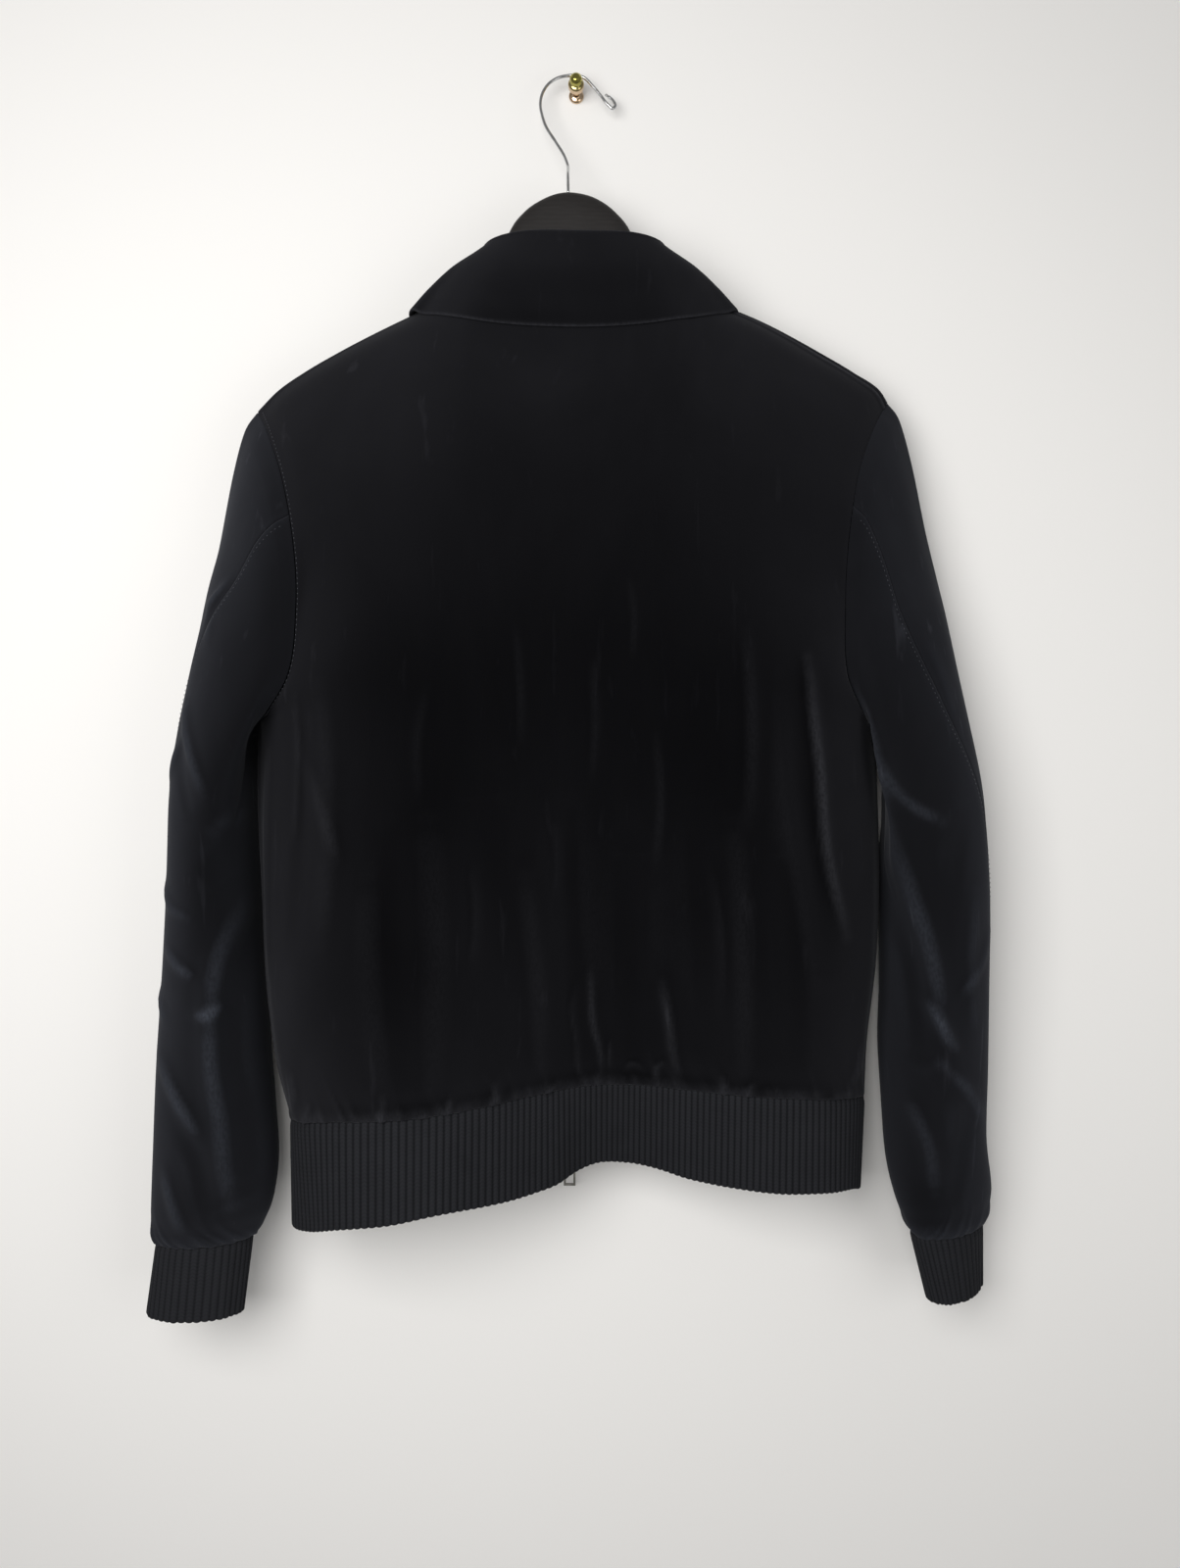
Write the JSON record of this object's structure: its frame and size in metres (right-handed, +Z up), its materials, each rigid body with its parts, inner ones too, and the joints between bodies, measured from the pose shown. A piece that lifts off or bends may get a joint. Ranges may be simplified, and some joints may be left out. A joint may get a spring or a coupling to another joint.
{
  "type": "velvet bomber jacket on a wooden hanger and wall peg",
  "caption": "Black velvet bomber jacket with a turn-down collar, ribbed hem and cuffs and an open front zip, hung by a wire-hooked wooden hanger from a brass wall peg.",
  "frame": {"origin": "centre of the peg flange's back face, on the wall", "axes": "+Z up, +Y into the wall, +X to the right as the jacket's back is seen from the room"},
  "size_m": [0.6237, 0.1343, 0.9306],
  "materials": {
    "velvet": "black cotton velvet",
    "rib_knit": "matte ribbed knit",
    "zip_tape": "woven twill tape",
    "zip_metal": "satin",
    "hanger_wood": "dark satin varnish",
    "hook_wire": "polished",
    "peg_brass": "polished"
  },
  "bodies": {
    "garment": {"back": "velvet", "front_left": "velvet", "front_right": "velvet", "collar": "velvet", "sleeve_left_upper": "velvet", "sleeve_left_under": "velvet", "sleeve_right_upper": "velvet", "sleeve_right_under": "velvet", "cuff_left": "rib_knit", "cuff_right": "rib_knit", "hem_rib": "rib_knit", "zip_tape_left": "zip_tape", "zip_tape_right": "zip_tape", "zip_slider": "zip_metal", "zip_box": "zip_metal", "hanger": "hanger_wood", "hanger_hook": "hook_wire", "wall_peg": "peg_brass"},
    "pull": {"zip_pull": "zip_metal"}
  },
  "joints": [
    {"name": "zip_pull_swing", "type": "hinge", "parent": "garment", "child": "pull", "pos_m": [-0.005, -0.01325, -0.8172], "axis": [1, 0, 0], "range_deg": [0, 170]}
  ]
}
